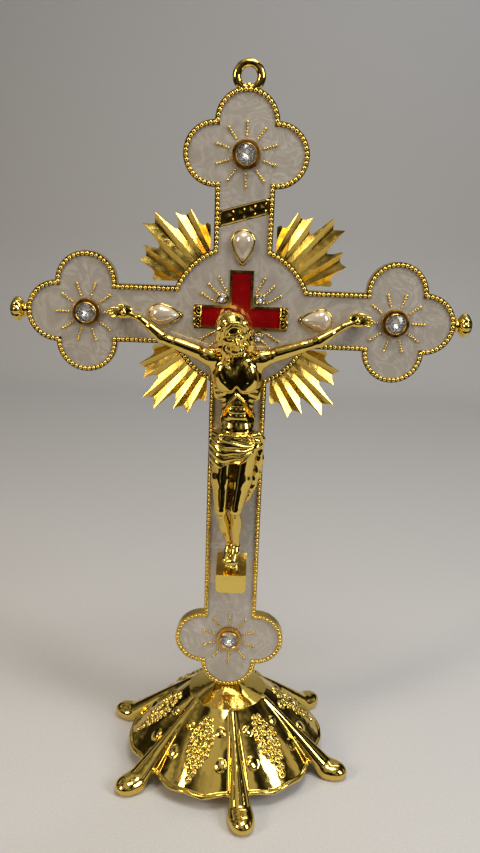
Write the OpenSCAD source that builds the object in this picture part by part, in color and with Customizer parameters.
// Standing altar cross: a cast budded cross with enamel, stones and a figure, screwed to a
// six-ribbed skirt base. Millimetres, +Z up, the front of the cross faces -Y, the origin is
// on the table under the middle of the base.

/* [Cross] */
// Height of the middle of the round centre disc above the table
disc_z = 143.3; // [140:0.1:150]
// Distance from the disc's middle to the middle of each side or top trefoil
arm_reach = 43.4; // [40:0.1:48]
// Distance from the disc's middle to the middle of the bottom trefoil
foot_reach = 101.2; // [98:0.1:104]
// Width of the arms over their rims
arm_w = 16.2; // [14:0.1:18]
// Outer radius of the centre disc
disc_r = 20.2; // [18:0.1:22]
// Outer radius of one lobe of a trefoil
lobe_r = 8.6; // [8:0.1:9.4]
// Distance of a lobe's centre from its trefoil's middle
lobe_offset = 8.3; // [7:0.1:9]
// Thickness of the casting, rim included
cross_t = 3.2; // [3:0.1:5]
// Front of the rim, ahead of the screw axis
front_y = -4.4; // [-5:0.1:-4.2]

/* [Rim and enamel] */
// Width of the raised rim that carries the beading
rim_w = 1.3; // [1:0.1:1.6]
// Depth of the enamel recess behind the rim's front
recess_d = 0.8; // [0.5:0.1:1.2]
// How far the enamel stays below the rim's front
enamel_drop = 0.25; // [0.1:0.05:0.4]
// Half length of the bars of the red cross, over its border
red_reach = 13.1; // [11:0.1:15]
// Width of the bars of the red cross, over its border
red_w = 6.6; // [5.5:0.1:7]
// Width of the border round the red enamel
red_border = 0.65; // [0.4:0.05:1]

/* [Stones and pearls] */
// Outside diameter of a large stone setting
setting_d = 8; // [7:0.1:9]
// Girdle diameter of a large crystal
crystal_d = 5.1; // [4.5:0.1:5.6]
// How far a large setting stands in front of the enamel floor
setting_h = 1.9; // [1.4:0.1:2.4]
// Outside diameter of a small stone setting
small_setting_d = 3.2; // [2.8:0.1:3.3]
// Offset of the small stones from the disc's middle, along both axes
small_offset = 5.1; // [5.1:0.05:5.3]
// Width of a drop pearl
pearl_w = 5.8; // [5:0.1:6.2]
// Distance from a pearl's round centre to its tip
pearl_tip = 6; // [5:0.1:6.6]
// Distance of a side pearl's round centre from the disc's middle
pearl_reach = 22.6; // [22:0.1:24]
// Distance of the top pearl's round centre from the disc's middle
pearl_top_reach = 20.8; // [20:0.1:22]

/* [Rays] */
// Outer radius of the longest rays, from the disc's middle
ray_r = 37.4; // [34:0.1:40]
// Gap between a ray fan and the edge of an arm
ray_gap = 1.1; // [0.8:0.1:1.6]
// Height of a ray's fold at its tip
ray_fold = 0.9; // [0.5:0.1:0.95]

/* [Base] */
// Turn of the base about its screw
base_turn = 9.3; // [0:0.1:15]
// Distance of each toe's centre from the screw axis
toe_reach = 38.2; // [36:0.1:40]
// Radius of the round toes
toe_r = 3.35; // [3:0.05:4]
// Radius at which the smooth cap turns into the skirt
cap_r = 12.5; // [11:0.1:14]
// Height of the flat on which the cross stands
seat_z = 24.9; // [24.8:0.1:25]
// Radius of the skirt's petals at their middle
petal_r = 31; // [29:0.1:32]
// Height of the skirt's lower edge above the table
petal_z = 4.6; // [4:0.1:6]
// Wall thickness of the skirt
skirt_t = 1.6; // [1.2:0.1:2]

/* [Hanging ring and finials] */
// Outside diameter of the hanging ring
ring_d = 8.8; // [8:0.1:9.4]
// Diameter of the hole in the hanging ring
ring_hole_d = 4; // [3.8:0.1:4.4]
// Height of the hanging ring's hole above the top trefoil's middle
ring_reach = 19.5; // [19:0.1:20]
// Half the width of the whole cross, over its finials
half_width = 65.2; // [64:0.1:68]
// Widest diameter of a finial
finial_d = 7; // [6:0.1:8]

/* [Hidden] */
$fn = 64;

gap = 0.05;
far = 200;
back_y = front_y + cross_t;
floor_y = front_y + recess_d;
enamel_y = front_y + enamel_drop;
mid_y = (front_y + back_y) / 2;

// Places of the four trefoils, from the disc's middle: [x, z, direction of the outward arm]
TOP = [0, arm_reach, 90];
LEFT = [-arm_reach, 0, 180];
RIGHT = [arm_reach, 0, 0];
BOTTOM = [0, -foot_reach, 270];
TREFOILS = [TOP, LEFT, RIGHT, BOTTOM];

// Places of the drop pearls' round ends: [x, z, direction in which the tip points]
PEARL_TOP = [0, pearl_top_reach, 270];
PEARL_LEFT = [-pearl_reach, 0, 0];
PEARL_RIGHT = [pearl_reach, 0, 180];
PEARLS = [PEARL_TOP, PEARL_LEFT, PEARL_RIGHT];
pearl_wall = 0.45;
pearl_tip_r = 0.5;
pearl_foot = 0.4;

// A cone that joins two balls starts and ends a little inside them
taper = 0.97;
// Round ribs are turned about their own axis so that their seams miss the petals' corners
seam_turn = 37;

// Titulus band across the upper arm
band_z = 28.5;
band_h = 4.4;
band_slope = 16;

// Screw, boss and washer that hold the cross to the base
screw_r = 1.45;
screw_hole_r = 1.7;
thread_r = 1.5;
head_r = 2.6;
head_h = 1.8;
boss_r = 3.2;
boss_top = 40;
seat_r = 4.5;
seat_boss_z = 17;
washer_r = 3.4;
washer_t = 0.7;
screw_reach = 36;

// Cap, skirt and ribs of the base
cap_z = 21.8;
rib_top_r = 1.1;
toe_z = 2.4;

// Small settings: wall, rim, seat for the girdle and foot of the stone
small_wall = 0.25;
small_rim_h = 1.15;
small_seat_h = 0.8;
small_foot = 0.3;

// Thickness of the ray plate
plate_t = 0.8;

// Figure, from the disc's middle: x, y in front of the enamel, z
nail_x = 32.6;
nail_z = 0.4;
nail_hole_r = 0.55;
nail_r = 0.45;
nail_head_r = 0.85;
hand_front = 2.2;
rivet_r = 1.2;
rivet_head_r = 2;
rivet_head_t = 0.8;
rivet_zs = [-16.5, -62];
foot_nail_z = -70.2;
foot_front = 6.4;

// Footrest wedge
rest_w = 9;
rest_top_back = -71.8;
rest_top_front = -75.6;
rest_bottom = -81.6;
rest_d = 7.9;

red = "firebrick";
gold = "goldenrod";

// Stands a flat shape, drawn as x and z from the disc's middle, between two depths
module upright(from_y, to_y) {
    translate([0, to_y, disc_z]) rotate([90, 0, 0]) linear_extrude(height = to_y - from_y) children();
}

// Puts something that points up +Z at a place on the cross, pointing out of the front
module on_front(place, y) {
    translate([place[0], y, disc_z + place[1]]) rotate([90, 0, 0]) children();
}

module trefoil(place, inset) {
    translate([place[0], place[1]]) rotate(place[2]) {
        for (turn = [-90, 0, 90])
            rotate(turn) translate([lobe_offset, 0]) circle(lobe_r - inset);
        translate([-lobe_offset, -arm_w / 2 + inset]) square([2 * lobe_offset, arm_w - 2 * inset]);
        circle(lobe_offset);
    }
}

// Outline of the whole cross, moved inwards by inset
module cross_outline(inset = 0) {
    circle(disc_r - inset);
    for (place = TREFOILS)
        trefoil(place, inset);
    translate([-arm_w / 2 + inset, -foot_reach]) square([arm_w - 2 * inset, foot_reach + arm_reach]);
    translate([-arm_reach, -arm_w / 2 + inset]) square([2 * arm_reach, arm_w - 2 * inset]);
}

// Equal-armed plus shape, the outline of the red cross
module red_outline(inset = 0) {
    for (turn = [0, 90])
        rotate(turn) square([2 * (red_reach - inset), red_w - 2 * inset], center = true);
}

module band_outline(inset = 0) {
    intersection() {
        square_w = arm_w - 2 * rim_w;
        translate([-square_w / 2 + inset, 0]) square([square_w - 2 * inset, 2 * band_z]);
        translate([0, band_z]) rotate(band_slope)
            square([2 * arm_w, (band_h - 2 * inset) * cos(band_slope)], center = true);
    }
}

// Drop with a round end at the origin and its tip along +X
module drop_outline(grow = 0) {
    r = pearl_w / 2;
    tip_x = pearl_tip - pearl_tip_r;
    lean = acos((r - pearl_tip_r) / tip_x);
    side = [cos(lean), sin(lean)];
    big = side * taper * (r + grow);
    small = side * taper * (pearl_tip_r + grow);
    circle(r + grow);
    translate([tip_x, 0]) circle(pearl_tip_r + grow);
    polygon([big, [tip_x + small[0], small[1]], [tip_x + small[0], -small[1]], [big[0], -big[1]]]);
}

module placed_drop(place, grow = 0) {
    translate([place[0], place[1]]) rotate(place[2]) drop_outline(grow);
}

module small_places() {
    for (x = [-small_offset, small_offset], z = [-small_offset, small_offset])
        on_front([x, z], floor_y) children();
}

module nail_places() {
    for (side = [-1, 1])
        on_front([side * nail_x, nail_z], floor_y) children();
}

// Everything that is let into the cream enamel
module enamel_windows() {
    for (place = TREFOILS)
        translate([place[0], place[1]]) circle(setting_d / 2);
    for (place = PEARLS)
        placed_drop(place, pearl_wall);
    for (x = [-small_offset, small_offset], z = [-small_offset, small_offset])
        translate([x, z]) circle(small_setting_d / 2);
    red_outline();
    band_outline();
    for (side = [-1, 1])
        translate([side * nail_x, nail_z]) circle(nail_r);
    for (z = rivet_zs)
        translate([0, z]) circle(rivet_r);
}

// Casting: plate with raised rim, border of the red cross, and the boss for the base screw
module cross_frame() {
    nail_depth = 1.2;
    color(gold) difference() {
        union() {
            difference() {
                upright(front_y, back_y) cross_outline();
                upright(front_y - 1, floor_y) cross_outline(rim_w);
            }
            upright(front_y - 0.1, floor_y) difference() {
                red_outline();
                red_outline(red_border);
            }
            translate([0, 0, seat_z]) cylinder(h = boss_top - seat_z, r = boss_r);
        }
        translate([0, 0, seat_z - 1]) cylinder(h = screw_reach - seat_z + 2, r = thread_r);
        nail_places() translate([0, 0, -nail_depth]) cylinder(h = nail_depth + 1, r = nail_r);
        for (z = rivet_zs)
            on_front([0, z], back_y + 1) cylinder(h = cross_t + 1, r = rivet_r);
    }
}

module cream_enamel() {
    color("seashell") upright(enamel_y, floor_y) difference() {
        cross_outline(rim_w);
        enamel_windows();
    }
}

module red_enamel() {
    color(red) upright(enamel_y, floor_y) red_outline(red_border);
}

// Slanted plaque with a plain row of lozenges standing on its field
module titulus_plaque() {
    lozenge = 1.8;
    pitch = 2.9;
    border = 0.5;
    field_t = 0.35;
    top_y = enamel_y - 0.1;
    color("darkgoldenrod") union() {
        upright(floor_y - field_t, floor_y) band_outline();
        upright(top_y, floor_y - field_t) difference() {
            band_outline();
            band_outline(border);
        }
        for (i = [-1.5:1:1.5])
            upright(top_y, floor_y - field_t)
                translate([0, band_z]) rotate(band_slope) translate([i * pitch, 0]) rotate(45)
                    square(lozenge, center = true);
    }
}

// Reach of a fold line of a ray fan, by its angle from the fan's middle
function ray_reach(a) =
    a < 1 ? 0.95 * ray_r :
    a < 5 ? ray_r :
    a < 8 ? 0.81 * ray_r :
    a < 12 ? 0.9 * ray_r :
    a < 16 ? 0.86 * ray_r :
    a < 19 ? 0.87 * ray_r : 0.74 * ray_r;

// One accordion-folded fan of rays about +X, flat behind, folds rising towards +Z
module ray_fan() {
    step = 3.6;
    half = 7;
    inner_r = 16;
    cols = 2 * half + 1;
    angles = [for (i = [0:cols - 1]) (i - half) * step];
    ridge = [for (i = [0:cols - 1]) abs(i - half) % 2];
    inner = [for (a = angles) [inner_r * cos(a), inner_r * sin(a)]];
    outer = [for (a = angles) ray_reach(abs(a)) * [cos(a), sin(a)]];
    points = concat([for (p = inner) [p[0], p[1], 0]], [for (p = outer) [p[0], p[1], 0]],
        [for (p = inner) [p[0], p[1], plate_t]],
        [for (i = [0:cols - 1]) [outer[i][0], outer[i][1], plate_t + ray_fold * ridge[i]]]);
    strip = [for (i = [0:cols - 2]) i];
    faces = concat(
        [for (i = strip) [i, cols + i, cols + i + 1]], [for (i = strip) [i, cols + i + 1, i + 1]],
        [for (i = strip) [2 * cols + i, 3 * cols + i + 1, 3 * cols + i]],
        [for (i = strip) [2 * cols + i, 2 * cols + i + 1, 3 * cols + i + 1]],
        [for (i = strip) [cols + i, 3 * cols + i, 3 * cols + i + 1]],
        [for (i = strip) [cols + i, 3 * cols + i + 1, cols + i + 1]],
        [for (i = strip) [i, i + 1, 2 * cols + i + 1]],
        [for (i = strip) [i, 2 * cols + i + 1, 2 * cols + i]],
        [[0, 2 * cols, 3 * cols], [0, 3 * cols, cols]],
        [[cols - 1, 2 * cols - 1, 4 * cols - 1], [cols - 1, 4 * cols - 1, 3 * cols - 1]]);
    polyhedron(points, faces);
}

// Plate behind the disc: a hub and four fans, their outer edges cut parallel to the arms
module sunburst_plate() {
    hub_r = 19;
    clear = arm_w / 2 + ray_gap;
    hub_back = back_y + plate_t + ray_fold + gap;
    color(gold) difference() {
        union() {
            translate([0, hub_back, disc_z]) rotate([90, 0, 0]) intersection() {
                for (turn = [45:90:315])
                    rotate(turn) ray_fan();
                for (x = [-1, 1], z = [-1, 1])
                    translate([x > 0 ? clear : -clear - far, z > 0 ? clear : -clear - far, -1])
                        cube([far, far, far]);
            }
            upright(back_y, hub_back) circle(hub_r);
        }
        on_front([0, rivet_zs[0]], hub_back + 1) cylinder(h = cross_t, r = rivet_r);
    }
}

// Eye with a short straight hole and a rounded body, fitted to the top lobe
module hanging_ring() {
    tube = (ring_d - ring_hole_d) / 2;
    half_t = 1.2;
    land = 0.5;
    color(gold) difference() {
        on_front([0, arm_reach + ring_reach], mid_y) rotate_extrude() translate([ring_hole_d / 2, 0])
            intersection() {
                translate([0, -half_t]) square([tube, 2 * half_t]);
                union() {
                    translate([tube / 2, 0]) circle(half_t * 1.04);
                    translate([0, -land]) square([tube / 2, 2 * land]);
                }
            }
        on_front([0, arm_reach + lobe_offset], back_y + 1) cylinder(h = cross_t + 2, r = lobe_r);
    }
}

// Bud at the end of a side arm: collar, ball and button, fitted to the outer lobe
module finial(side) {
    lobe_end = arm_reach + lobe_offset + lobe_r;
    ball_r = finial_d / 2;
    button_r = 1.4;
    ball_centre = half_width - button_r - 0.75 * ball_r;
    root = 3;
    color(gold) difference() {
        translate([0, mid_y, disc_z]) rotate([0, side * 90, 0]) rotate_extrude() union() {
            intersection() {
                translate([0, ball_centre]) circle(ball_r);
                translate([0, lobe_end - root]) square([far, half_width - button_r - lobe_end + root]);
            }
            intersection() {
                translate([0, half_width - button_r]) circle(button_r);
                translate([0, lobe_end]) square([far, far]);
            }
        }
        on_front([side * (arm_reach + lobe_offset), 0], back_y + far / 2) cylinder(h = far, r = lobe_r);
    }
}
module finial_left() finial(-1);
module finial_right() finial(1);

// Setting: wide flat ring with a raised inner collar and a conical seat
module setting(place) {
    r = setting_d / 2;
    seat = crystal_d / 2;
    collar = 0.5;
    foot = 0.4;
    color(gold) on_front(place, floor_y) rotate_extrude()
        polygon([[0, 0], [r, 0], [r, setting_h - 0.5], [r - 0.3, setting_h - 0.2],
            [seat + collar, setting_h - 0.2], [seat + collar, setting_h + 0.25],
            [seat, setting_h + 0.25], [seat, setting_h - 0.3], [0, foot]]);
}
module setting_top() setting(TOP);
module setting_left() setting(LEFT);
module setting_right() setting(RIGHT);
module setting_bottom() setting(BOTTOM);

// Round stone with a pointed back, a straight girdle and a flat table
module crystal(place) {
    r = crystal_d / 2;
    foot = 0.4;
    girdle_z = setting_h - 0.3;
    crown_z = setting_h + 0.95;
    color("white", 0.6) on_front(place, floor_y) rotate_extrude()
        polygon([[0, foot], [r, girdle_z], [r, girdle_z + 0.35], [r * 0.55, crown_z], [0, crown_z]]);
}
module crystal_top() crystal(TOP);
module crystal_left() crystal(LEFT);
module crystal_right() crystal(RIGHT);
module crystal_bottom() crystal(BOTTOM);

// Half-round drop pearl, flat behind
module pearl(place) {
    r = pearl_w / 2;
    point = pearl_tip - pearl_tip_r;
    color("ivory") on_front(place, floor_y) rotate(place[2]) intersection() {
        union() {
            sphere(r);
            rotate([0, 90, 0]) cylinder(h = point, r1 = taper * r, r2 = taper * pearl_tip_r);
            translate([point, 0, 0]) sphere(pearl_tip_r);
        }
        translate([-far / 2, -far / 2, pearl_foot]) cube([far, far, far]);
    }
}
module pearl_top() pearl(PEARL_TOP);
module pearl_left() pearl(PEARL_LEFT);
module pearl_right() pearl(PEARL_RIGHT);

// Cup with a thin upright wall round a pearl
module pearl_cup(place) {
    wall_h = 1.5;
    color(gold) union() {
        upright(floor_y - pearl_foot, floor_y) placed_drop(place, pearl_wall);
        upright(floor_y - wall_h, floor_y - pearl_foot) difference() {
            placed_drop(place, pearl_wall);
            placed_drop(place, 0);
        }
    }
}
module pearl_cup_top() pearl_cup(PEARL_TOP);
module pearl_cup_left() pearl_cup(PEARL_LEFT);
module pearl_cup_right() pearl_cup(PEARL_RIGHT);

module small_settings() {
    r = small_setting_d / 2;
    color(gold) small_places() rotate_extrude()
        polygon([[0, 0], [r, 0], [r, small_rim_h], [r - small_wall, small_rim_h],
            [r - small_wall, small_seat_h], [0, small_foot]]);
}

module small_crystals() {
    r = small_setting_d / 2 - small_wall;
    girdle = 0.2;
    table_h = 1.6;
    table = 0.55;
    color("white", 0.6) small_places() rotate_extrude()
        polygon([[0, small_foot], [r, small_seat_h], [r, small_seat_h + girdle], [r * table, table_h],
            [0, table_h]]);
}

// A ball of the figure: x, distance in front of the enamel, z from the disc's middle, radius
module ball(b) {
    translate([b[0], enamel_y - b[1], disc_z + b[2]]) sphere(r = b[3], $fn = 18);
}
module limb(a, b) {
    hull() {
        ball(a);
        ball(b);
    }
}

// Plain stand-in of the figure's true outer size: head, torso, cloth, arms, legs and feet
module corpus() {
    head = [-1.7, 9, -3, 4.1];
    chin = [-0.4, 9, -7.6, 2.6];
    neck = [-0.8, 5.6, -9.6, 2.2];
    chest_l = [-3.8, 4.6, -14, 3.8];
    chest_r = [4, 4.6, -13.6, 3.8];
    waist_l = [-1.9, 4.6, -29, 3.2];
    waist_r = [2.6, 4.6, -29, 3.2];
    hip_l = [-3.2, 5, -35, 4];
    hip_r = [3.2, 5, -35, 4];
    thigh = [0, 6.2, -43, 4.9];
    knee = [-1.4, 7.4, -55.6, 3.9];
    ankle = [0.1, 3.6, -67, 2.4];
    toes = [0, 6.6, -72.6, 1.6];
    heel = [0, 3.2, -69.2, 2];
    tail_a = [6, 5, -37, 1.9];
    tail_b = [3.6, 4.2, -51, 1.5];
    front_of_enamel = enamel_y - far / 2;
    rest_slope = atan2(rest_top_back - rest_top_front, rest_d);
    color(gold) difference() {
        union() {
            limb(head, chin);
            limb(chin, neck);
            hull() {
                ball(neck);
                ball(chest_l);
                ball(chest_r);
            }
            hull() {
                ball(chest_l);
                ball(chest_r);
                ball(waist_l);
                ball(waist_r);
            }
            hull() {
                ball(waist_l);
                ball(waist_r);
                ball(hip_l);
                ball(hip_r);
            }
            hull() {
                ball(hip_l);
                ball(hip_r);
                ball(thigh);
            }
            limb(thigh, knee);
            limb(knee, ankle);
            limb(heel, ankle);
            limb(heel, toes);
            limb(tail_a, tail_b);
            for (side = [-1, 1]) {
                shoulder = [side * 7.4, 4.6, -10.6, 2.4];
                elbow = [side * 21.5, 4.2, -5.4, 1.6];
                wrist = [side * 28.6, 2.4, -1.2, 1.3];
                finger = [side * 36, 0.9, 0.3, 0.8];
                limb(shoulder, [side * 4, 4.6, -13.6, 3.4]);
                limb(shoulder, elbow);
                limb(elbow, wrist);
                limb(wrist, finger);
            }
        }
        translate([-far / 2, enamel_y, 0]) cube([far, far, 2 * far]);
        translate([0, enamel_y + 0.01, disc_z + rest_top_back]) rotate([rest_slope, 0, 0])
            translate([-far / 2, -far / 2, -far]) cube([far, far / 2, far]);
        nail_places() cylinder(h = far, r = nail_hole_r);
        on_front([0, foot_nail_z], enamel_y) cylinder(h = far, r = nail_hole_r);
    }
}

// Wedge block under the feet, sloping forwards, with rounded lower corners
module footrest() {
    corner = 1.5;
    lip = 0.5;
    step_h = 3.8;
    heel_drop = 1.2;
    profile = [[0, rest_top_back], [-rest_d, rest_top_front], [-rest_d, rest_bottom],
        [0, rest_bottom - heel_drop]];
    color(gold) difference() {
        intersection() {
            translate([-rest_w / 2, enamel_y, disc_z]) rotate([90, 0, 90])
                linear_extrude(height = rest_w) polygon(profile);
            upright(enamel_y - rest_d - 1, enamel_y) union() {
                translate([-rest_w / 2, rest_bottom + corner]) square([rest_w, far]);
                for (side = [-1, 1])
                    translate([side * (rest_w / 2 - corner), rest_bottom + corner]) circle(corner);
                translate([-rest_w / 2 + corner, rest_bottom]) square([rest_w - 2 * corner, far]);
            }
        }
        translate([-far / 2, enamel_y - rest_d - 1, disc_z + rest_bottom - far])
            cube([far, 1 + lip, far + step_h]);
    }
}

// Round-headed nail, head outwards
module nail(length) {
    cylinder(h = length, r = nail_r);
    head_ball = 1;
    sunk = 0.45;
    translate([0, 0, length]) intersection() {
        translate([0, 0, -sunk]) sphere(r = head_ball);
        cylinder(h = head_ball, r = nail_head_r);
    }
}

module hand_nails() {
    depth = 1.2;
    color(gold) nail_places() translate([0, 0, -depth]) nail(depth + recess_d - enamel_drop + hand_front);
}

module foot_nail() {
    color(gold) on_front([0, foot_nail_z], enamel_y) nail(foot_front);
}

// Two headed rivets from behind that hold the figure, the upper one through the ray plate too
module corpus_rivets() {
    plate_back = back_y + plate_t + ray_fold + gap;
    backs = [plate_back, back_y];
    color(gold) for (i = [0, 1])
        on_front([0, rivet_zs[i]], backs[i]) {
            translate([0, 0, -rivet_head_t]) cylinder(h = rivet_head_t, r = rivet_head_r);
            cylinder(h = backs[i] - enamel_y, r = rivet_r);
        }
}

// One long tapering rib that ends in a round toe
module rib() {
    top_z = cap_z - 0.6;
    run = toe_reach - cap_r;
    drop = top_z - toe_z;
    translate([cap_r, 0, top_z]) {
        sphere(rib_top_r);
        rotate([0, 90 + atan2(drop, run), 0])
            rotate(seam_turn) cylinder(h = sqrt(run * run + drop * drop), r1 = taper * rib_top_r,
                r2 = taper * toe_r);
    }
    translate([toe_reach, 0, toe_z]) rotate(seam_turn) sphere(toe_r);
}

// Hollow skirt of six petals between six ribs, with a flat seat and a screw boss on top
module base_shell() {
    petal_centre = 12;
    inner_cap = cap_z - skirt_t * 1.2;
    inner_edge = petal_z + 0.6;
    color(gold) rotate(base_turn - 90) difference() {
        intersection() {
            union() {
                intersection() {
                    rotate_extrude() polygon([[0, seat_z], [seat_r, seat_z], [cap_r, cap_z],
                        [petal_r, petal_z], [petal_r - 1.2, petal_z], [cap_r - 1, inner_cap],
                        [0, seat_z - skirt_t]]);
                    linear_extrude(height = far) for (turn = [30:60:330])
                        rotate(turn) translate([petal_centre, 0]) circle(petal_r - petal_centre);
                }
                for (turn = [0:60:300])
                    rotate(turn) rib();
                translate([0, 0, seat_boss_z]) cylinder(h = seat_z - seat_boss_z, r = seat_r);
            }
            translate([-far / 2, -far / 2, 0]) cube([far, far, seat_z]);
        }
        translate([0, 0, seat_boss_z - 1]) cylinder(h = seat_z, r = screw_hole_r);
    }
}

module base_washer() {
    color("silver") translate([0, 0, seat_boss_z - washer_t]) difference() {
        cylinder(h = washer_t, r = washer_r);
        translate([0, 0, -1]) cylinder(h = washer_t + 2, r = screw_hole_r);
    }
}

module base_screw() {
    under = seat_boss_z - washer_t;
    slot_w = 0.8;
    slot_l = 3.2;
    slot_d = 0.9;
    color("silver") difference() {
        union() {
            translate([0, 0, under - head_h]) cylinder(h = head_h, r = head_r);
            translate([0, 0, under]) cylinder(h = screw_reach - under, r = screw_r);
        }
        for (turn = [0, 90])
            rotate(turn) translate([-slot_l / 2, -slot_w / 2, under - head_h - 1])
                cube([slot_l, slot_w, 1 + slot_d]);
    }
}

base_shell();
base_screw();
base_washer();
cross_frame();
cream_enamel();
red_enamel();
sunburst_plate();
hanging_ring();
finial_left();
finial_right();
titulus_plaque();
setting_top();
setting_left();
setting_right();
setting_bottom();
crystal_top();
crystal_left();
crystal_right();
crystal_bottom();
pearl_top();
pearl_left();
pearl_right();
pearl_cup_top();
pearl_cup_left();
pearl_cup_right();
small_settings();
small_crystals();
corpus();
footrest();
hand_nails();
foot_nail();
corpus_rivets();
